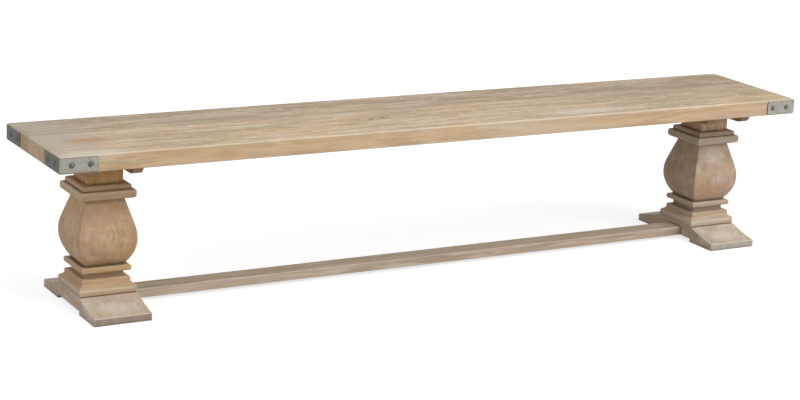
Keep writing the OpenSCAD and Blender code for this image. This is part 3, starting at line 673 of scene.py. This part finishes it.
# %% [markdown]
# ## Weathered galvanised steel
# The corner straps are flat mild steel that was dipped in zinc and left to dull. The zinc turns a matt
# grey with cloudy spangles of 10 to 15 mm and fine pits. Along the cut edges, where the zinc is thin, it
# has gone dark and begun to rust. Its grey skin is mostly zinc oxide, so it is only a little metallic. The
# legs on the ends of the seat are painted darker, as shade, and where the steel meets the wood and round
# the nail heads it is painted darker too, as shade with some grime. The domed nails are blackened steel,
# and the hidden rods, nuts, washers and screws are zinc plated. All of them are one recipe with other
# colours and another shine.

# %% Weathered steel
SPANGLE = 13 * MM
PIT = 3 * MM
RIM_WIDTH = 2 * MM
SHADE_AND_GRIME_REACH = 6 * MM
# The tone of the painted shade on faces that look toward the ends of the bench
END_SHADE_TONE = "#383A40"
SHADE_AND_GRIME_TONE = "#33302C"


def weathered_steel(name, skin, cloud, edge, metallic, roughness, edge_share, ends=0.0):
    """Steel with a cloudy skin and darker edges, with painted shade where it faces the ends of the bench, and
    painted shade with some grime in its corners.
    """
    material, tree = new_material(name)
    place = add(tree, "TexCoord", out="Object")
    spangle = add(tree, "TexNoise", {"Vector": place, "Scale": 1 / SPANGLE, "Detail": 3})
    clouds = add(tree, "MapRange", {"Value": spangle, "From Min": 0.35, "From Max": 0.65})
    colour = add(tree, "Mix", {0: clouds, 6: linear(skin), 7: linear(cloud)}, data_type="RGBA")
    speckle = add(tree, "TexNoise", {"Vector": place, "Scale": 1 / PIT, "Detail": 4})
    pitted = add(tree, "MapRange", {"Value": speckle, "From Min": 0.54, "From Max": 0.68, "To Max": 0.35})
    colour = add(tree, "Mix", {0: pitted, 6: colour, 7: linear(edge)}, data_type="RGBA")
    normal = add(tree, "NewGeometry", out="Normal")
    # Painted shade on the faces that look toward the ends of the bench
    endward = add(tree, "SeparateXYZ", {0: normal}, "X")
    endward = add(tree, "Math", {0: endward}, operation="ABSOLUTE")
    end_shade = add(tree, "MapRange", {"Value": endward, "From Min": 0.6, "From Max": 0.95, "To Max": ends})
    colour = add(tree, "Mix", {0: end_shade, 6: colour, 7: linear(END_SHADE_TONE)}, data_type="RGBA")
    rounded = add(tree, "Bevel", {"Radius": RIM_WIDTH}, samples=6)
    turned = add(tree, "VectorMath", {0: rounded, 1: normal}, "Value", operation="DOT_PRODUCT")
    rim = add(tree, "MapRange", {"Value": turned, "From Min": 0.99, "From Max": 0.82,
                                 "To Max": edge_share})
    colour = add(tree, "Mix", {0: rim, 6: colour, 7: linear(edge)}, data_type="RGBA")
    # Painted shade, with some grime, where the steel meets the wood and round the nail heads
    shelter = add(tree, "AmbientOcclusion", {"Distance": SHADE_AND_GRIME_REACH}, "AO", samples=8)
    shade_and_grime = add(tree, "MapRange", {"Value": shelter, "From Min": 0.92, "From Max": 0.55, "To Max": 0.85})
    colour = add(tree, "Mix", {0: shade_and_grime, 6: colour, 7: linear(SHADE_AND_GRIME_TONE)}, data_type="RGBA")
    bump = add(tree, "Bump", {"Strength": 0.3, "Distance": 0.3 * MM, "Height": speckle, "Normal": rounded})
    surface = add(tree, "BsdfPrincipled", {"Base Color": colour, "Metallic": metallic,
                                           "Roughness": roughness, "Normal": bump})
    add(tree, "OutputMaterial", {"Surface": surface})
    return material


strap_steel = weathered_steel("weathered_galvanised_steel", "#9D9A90", "#B0AEA2", "#5C5044",
                              metallic=0.25, roughness=0.6, edge_share=0.8, ends=0.8)
finish_nodes(strap_steel, "corner_strap_front_left", "corner_strap_front_right", "corner_strap_back_left",
             "corner_strap_back_right")
nail_steel = weathered_steel("blackened_nail_steel", "#55544F", "#6B6962", "#463A30",
                             metallic=0.6, roughness=0.28, edge_share=0.4, ends=0.9)
finish_nodes(nail_steel, "strap_nails")
plated_steel = weathered_steel("zinc_plated_steel", "#B9BAB8", "#C8C9C7", "#8C8170",
                               metallic=0.9, roughness=0.35, edge_share=0.1)
finish_nodes(plated_steel, "cleat_top_screws", "cleat_neck_screws", "rail_screws", "tie_rod_left",
             "tie_rod_right", "rod_nuts", "rod_washers")
print("steels made: straps, nails, hidden fastenings")

# %% [markdown]
# ## Floor
# The photo is a cut-out on white. A white floor would throw much light up under the seat, where the photo
# is dark, so this floor is a middling grey to the light, and glows a little to the camera until it shows
# white. It glows more far from the bench, where the lamps are weaker. Under the bench a soft shadow stays
# on it.

# %% Floor
def seen_directly(tree):
    """Is 1 to rays that come from the camera, from a reflection or through glass, and 0 to light."""
    seen = add(tree, "LightPath", out="Is Camera Ray")
    for kind in ("Is Glossy Ray", "Is Transmission Ray"):
        seen = add(tree, "Math", {0: seen, 1: add(tree, "LightPath", out=kind)}, operation="MAXIMUM")
    return seen


FLOOR_HALF = 30
WHITE = (1, 1, 1, 1)
FLOOR_GREY = (0.5, 0.5, 0.5, 1)
# The strength of the glow up to one metre from the middle of the bench, and from four metres on
GLOW_NEAR, GLOW_FAR = 0.74, 0.92
mesh = bpy.data.meshes.new("floor")
mesh.from_pydata([(-FLOOR_HALF, -FLOOR_HALF, 0), (FLOOR_HALF, -FLOOR_HALF, 0), (FLOOR_HALF, FLOOR_HALF, 0),
                  (-FLOOR_HALF, FLOOR_HALF, 0)], [], [(0, 1, 2, 3)])
floor = bpy.data.objects.new("floor", mesh)
scene.collection.objects.link(floor)
floor_paint, tree = new_material("pale_floor")
middle = add(tree, "TexCoord", out="Object")
away = add(tree, "VectorMath", {0: middle}, "Value", operation="LENGTH")
strength = add(tree, "MapRange", {"Value": away, "From Min": 1.0, "From Max": 4.0, "To Min": GLOW_NEAR,
                                  "To Max": GLOW_FAR}, interpolation_type="SMOOTHSTEP")
dark = add(tree, "Emission", {"Strength": 0})
glow = add(tree, "Emission", {"Color": WHITE, "Strength": strength})
glow = add(tree, "MixShader", {0: seen_directly(tree), 1: dark, 2: glow})
matt = add(tree, "BsdfDiffuse", {"Color": FLOOR_GREY})
both = add(tree, "AddShader", {0: matt, 1: glow})
add(tree, "OutputMaterial", {"Surface": both})
mesh.materials.append(floor_paint)
floor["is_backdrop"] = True
print("floor", 2 * FLOOR_HALF, "m square")

# %% [markdown]
# ## World and lamps
# The seat and the long side are equally bright in the photo, the left end is a little darker, and the far
# pedestal is dark on its left. A broad soft box overhead, a key lamp from the front right, a low one
# beside it and a weak one from the left give that together, over an even grey world. The world is white
# only to the camera and to reflections. A lamp's power is set so that it alone would show a white card at
# a given share of white, which makes the shares easy to compare.

# %% World and lamps
WORLD_LIGHT = 0.32
world = bpy.data.worlds.new("studio")
scene.world = world
world.use_nodes = True
tree = world.node_tree
tree.nodes.clear()
strength = add(tree, "Mix", {0: seen_directly(tree), 2: WORLD_LIGHT, 3: 1.0})
light = add(tree, "Background", {"Color": WHITE, "Strength": strength})
add(tree, "OutputWorld", {"Surface": light})

LAMPS_AIM = Vector((0, 0, 0.3))
# Each soft box: the direction it stands in, its distance and width in metres, and its share of white
SOFT_BOXES = {
    "overhead_box": ((-0.15, 0, 1), 3.5, 4.0, 0.235),
    "key_box": ((0.28, -0.63, 0.68), 10, 4.2, 0.42),
    "low_box": ((0.6, -0.75, 0.25), 10, 4.2, 0.18),
    "left_box": ((-0.9, -0.2, 0.4), 10, 4.2, 0.17),
}
for name, (direction, distance, width, share) in SOFT_BOXES.items():
    lamp = bpy.data.lights.new(name, "AREA")
    lamp.shape = "SQUARE"
    lamp.size = width
    lamp.energy = share * math.pi ** 2 * distance ** 2
    soft_box = bpy.data.objects.new(name, lamp)
    towards = Vector(direction).normalized()
    soft_box.location = towards * distance + LAMPS_AIM
    soft_box.rotation_mode = "QUATERNION"
    soft_box.rotation_quaternion = towards.to_track_quat("Z", "Y")
    scene.collection.objects.link(soft_box)

# %% [markdown]
# ## Size
# The size of the dressed bench is printed.

# %% Sizes and finish
low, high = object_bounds()
print("dressed size in mm", [round((b - a) / MM) for a, b in zip(low, high)])
